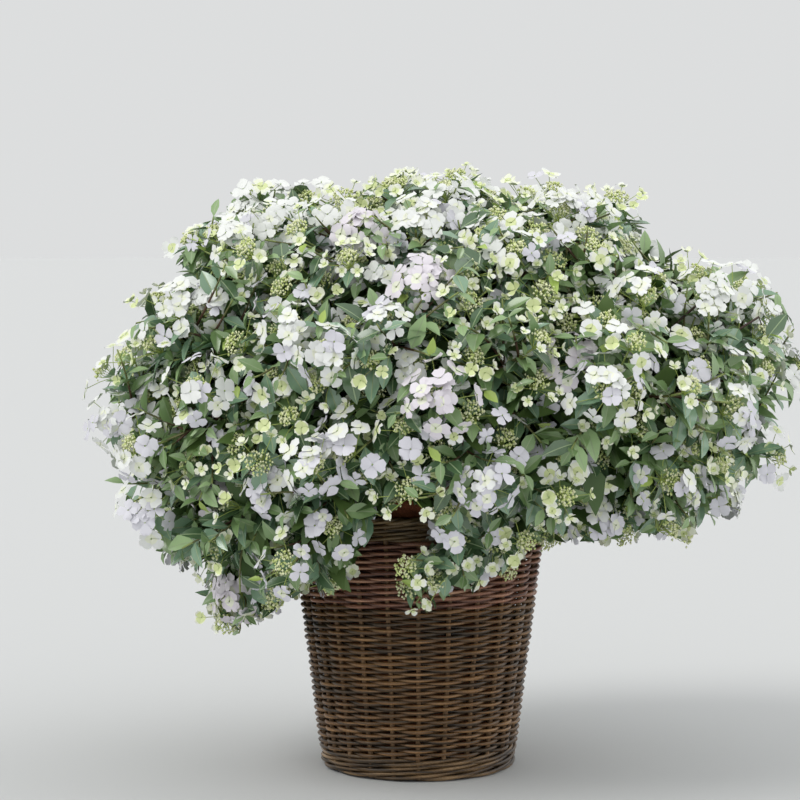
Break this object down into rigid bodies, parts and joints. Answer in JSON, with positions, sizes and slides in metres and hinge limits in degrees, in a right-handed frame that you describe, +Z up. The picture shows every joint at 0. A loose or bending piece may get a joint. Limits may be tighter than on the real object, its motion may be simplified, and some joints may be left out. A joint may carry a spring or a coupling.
{
  "type": "flowering shrub in a willow basket planter",
  "caption": "Garland hydrangea in full white blossom, a dense arching shrub in a clay pot inside a tall tapered willow basket.",
  "frame": {"origin": "centre of the basket's flat underside, where it stands on the ground", "axes": "+Z up, the plant's pictured front faces -Y, +X to its right, along the crown's greatest width"},
  "size_m": [1.1994, 1.0141, 0.9885],
  "materials": {
    "willow": "steamed brown willow rods, dry satin",
    "rim_willow": "olive brown willow rods, dry satin",
    "clay": "fired terracotta, matt",
    "soil": "damp potting soil",
    "bark": "dull brown bark",
    "foliage": "glossy leaves with matt white flowers"
  },
  "bodies": {
    "root": {"basket_wall": "willow", "basket_foot_wale": "willow", "basket_rim_wale": "rim_willow", "clay_pot": "clay", "soil": "soil", "stool": "bark", "bough_top_1": "bark", "bough_top_2": "bark", "bough_top_3": "bark", "bough_upper_1": "bark", "bough_upper_2": "bark", "bough_upper_3": "bark", "bough_upper_4": "bark", "bough_upper_5": "bark", "bough_upper_6": "bark", "bough_middle_1": "bark", "bough_middle_2": "bark", "bough_middle_3": "bark", "bough_middle_4": "bark", "bough_middle_5": "bark", "bough_middle_6": "bark", "bough_middle_7": "bark", "bough_middle_8": "bark", "bough_skirt_1": "bark", "bough_skirt_2": "bark", "bough_skirt_3": "bark", "bough_skirt_4": "bark", "bough_skirt_5": "bark", "bough_skirt_6": "bark", "bough_skirt_7": "bark", "foliage_top_1": "foliage", "foliage_top_2": "foliage", "foliage_top_3": "foliage", "foliage_upper_1": "foliage", "foliage_upper_2": "foliage", "foliage_upper_3": "foliage", "foliage_upper_4": "foliage", "foliage_upper_5": "foliage", "foliage_upper_6": "foliage", "foliage_middle_1": "foliage", "foliage_middle_2": "foliage", "foliage_middle_3": "foliage", "foliage_middle_4": "foliage", "foliage_middle_5": "foliage", "foliage_middle_6": "foliage", "foliage_middle_7": "foliage", "foliage_middle_8": "foliage", "foliage_skirt_1": "foliage", "foliage_skirt_2": "foliage", "foliage_skirt_3": "foliage", "foliage_skirt_4": "foliage", "foliage_skirt_5": "foliage", "foliage_skirt_6": "foliage", "foliage_skirt_7": "foliage"}
  },
  "joints": []
}
